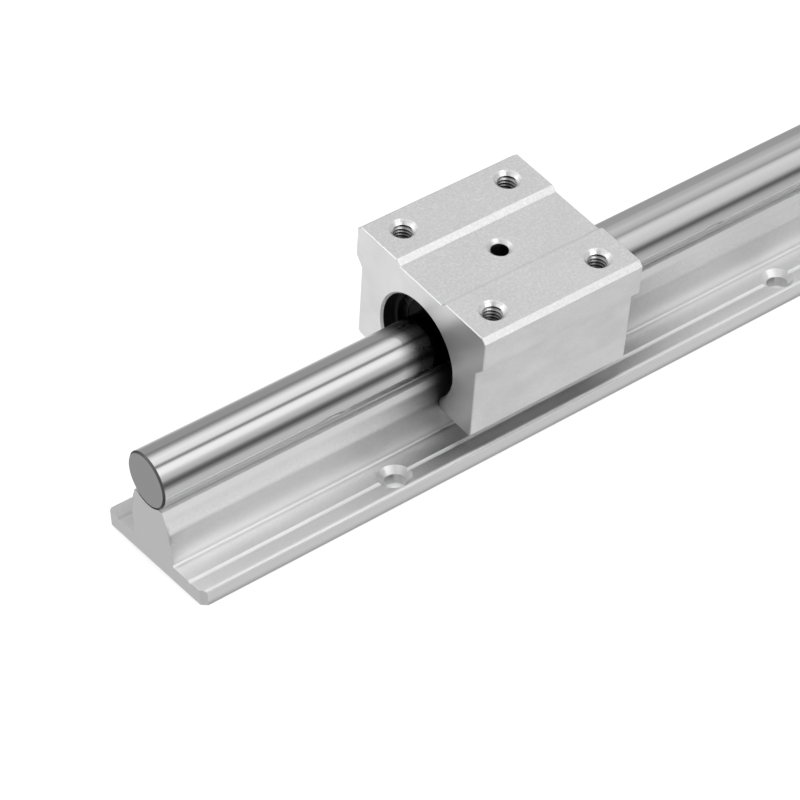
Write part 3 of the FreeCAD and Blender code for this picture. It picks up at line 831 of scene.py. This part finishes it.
# %% Dress the solids
for part in record["subparts"]:
    materials = nodes[part["node"]].data.materials
    materials.clear()
    materials.append(FINISHES[part["material_slot"]])
print("finishes on", len(record["subparts"]), "nodes")

# %% [markdown]
# ## Cut aluminium
#
# A tap leaves bright, clean metal. Less light reaches it further down the hole, so a
# shade with a short reach darkens it there. The threads sit inside the block, and mirrored
# light that has entered the block passes through them too.

# %% Cut aluminium
CHATTER = (900.0, 900.0, 900.0)
CUT_TONE = ((0.30, 0.82), (0.70, 0.92))
CUT_GLOSS = 0.35
CUT_SHADE = (6.0 * MM, 0.08, 0.70, 0.02)


def make_cut_aluminium():
    """Bright metal as a tap leaves it, darker further down the hole."""
    material, tree, shader = start_material("cut_aluminium")
    shader.inputs["Metallic"].default_value = 1.0
    shader.inputs["Roughness"].default_value = CUT_GLOSS
    add_see_through(tree, shader, 0.0)
    tone = add_ramp(tree, add_noise(tree, CHATTER, detail=2.0), CUT_TONE)
    shade = add_shade(tree, *CUT_SHADE)
    wire(tree, add_product(tree, tone, shade), shader.inputs["Base Color"])
    return material


CUT_ALUMINIUM = make_cut_aluminium()
print("finish", CUT_ALUMINIUM.name)

# %% [markdown]
# ## Threads in the block's holes
#
# The solids have plain holes at the thread's outer size. A thread is one small ridge that
# climbs the wall: the profile of a single turn is spun round the hole's axis and lifted by
# one pitch per turn. A screw hole is countersunk before it is tapped, so a full spin
# carries the solid's countersink on down to the thread's inner size. Each hole's place and
# axis come from the record's mounts.

# %% Thread shapes
THREAD_PITCH = 0.8 * MM
THREAD_DEPTH = 0.45 * MM
THREAD_CREST = 0.10 * MM
THREAD_START = 0.85 * MM
STEPS_PER_TURN = 32
MOUTH_TOP = 0.40 * MM
MOUTH_UNDERSIDE = 0.20 * MM
WELD = 0.01 * MM


def add_profile(shape, profile):
    """An open line of points, each given by its distance from the axis and its height."""
    points = [shape.verts.new((across, 0.0, up)) for across, up in profile]
    return points + [shape.edges.new(pair) for pair in zip(points, points[1:])]


def add_ridge(shape, radius, turns):
    """The thread's ridge, from height nought upwards."""
    inner = radius - THREAD_DEPTH
    middle = THREAD_PITCH / 2
    profile = (
        (radius, 0.0),
        (inner, middle - THREAD_CREST / 2),
        (inner, middle + THREAD_CREST / 2),
        (radius, THREAD_PITCH),
    )
    bmesh.ops.spin(
        shape, geom=add_profile(shape, profile), cent=(0, 0, 0), axis=(0, 0, 1),
        dvec=(0, 0, THREAD_PITCH / STEPS_PER_TURN), angle=2.0 * math.pi * turns,
        steps=STEPS_PER_TURN * turns, use_duplicate=False)


def add_mouth(shape, radius, height):
    """The countersink carried on below the solid's own, down to the thread's inner size."""
    inner = radius - THREAD_DEPTH
    foot = height - THREAD_DEPTH
    profile = ((radius, height), (inner, foot), (radius, foot - MOUTH_UNDERSIDE))
    bmesh.ops.spin(
        shape, geom=add_profile(shape, profile), cent=(0, 0, 0), axis=(0, 0, 1),
        dvec=(0, 0, 0), angle=2.0 * math.pi, steps=STEPS_PER_TURN, use_merge=True)


print("thread %.2f mm deep, pitch %.1f mm" % (THREAD_DEPTH / MM, THREAD_PITCH / MM))


# %% Threads
def make_thread(name, mount):
    """A helical ridge on the wall of one tapped hole, with its mouth."""
    radius = mount["dims"]["r_mm"] * MM
    length = mount["dims"]["length_mm"] * MM
    turns = int((length - THREAD_START) / THREAD_PITCH) - 1
    top = (turns + 1) * THREAD_PITCH + THREAD_START
    shape = bmesh.new()
    add_ridge(shape, radius, turns)
    add_mouth(shape, radius, top - MOUTH_TOP)
    bmesh.ops.remove_doubles(shape, verts=shape.verts, dist=WELD)
    bmesh.ops.recalc_face_normals(shape, faces=shape.faces)
    turned = Vector(mount["axis"]).to_track_quat("Z", "Y").to_matrix().to_4x4()
    drop = Matrix.Translation((0, 0, length / 2 - top))
    shape.transform(Matrix.Translation(mount["pos_m"]) @ turned @ drop)
    mesh = bpy.data.meshes.new(name)
    shape.to_mesh(mesh)
    shape.free()
    thread = bpy.data.objects.new(name, mesh)
    bpy.context.scene.collection.objects.link(thread)
    mesh.materials.append(CUT_ALUMINIUM)
    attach(thread, "block")
    print(name, turns, "turns", len(mesh.polygons), "faces")


tapped = [mount for mount in record["mounts"] if mount["kind"] == "threaded_hole"]
for order, mount in enumerate(tapped, start=1):
    make_thread("bolt_thread_%d" % order, mount)
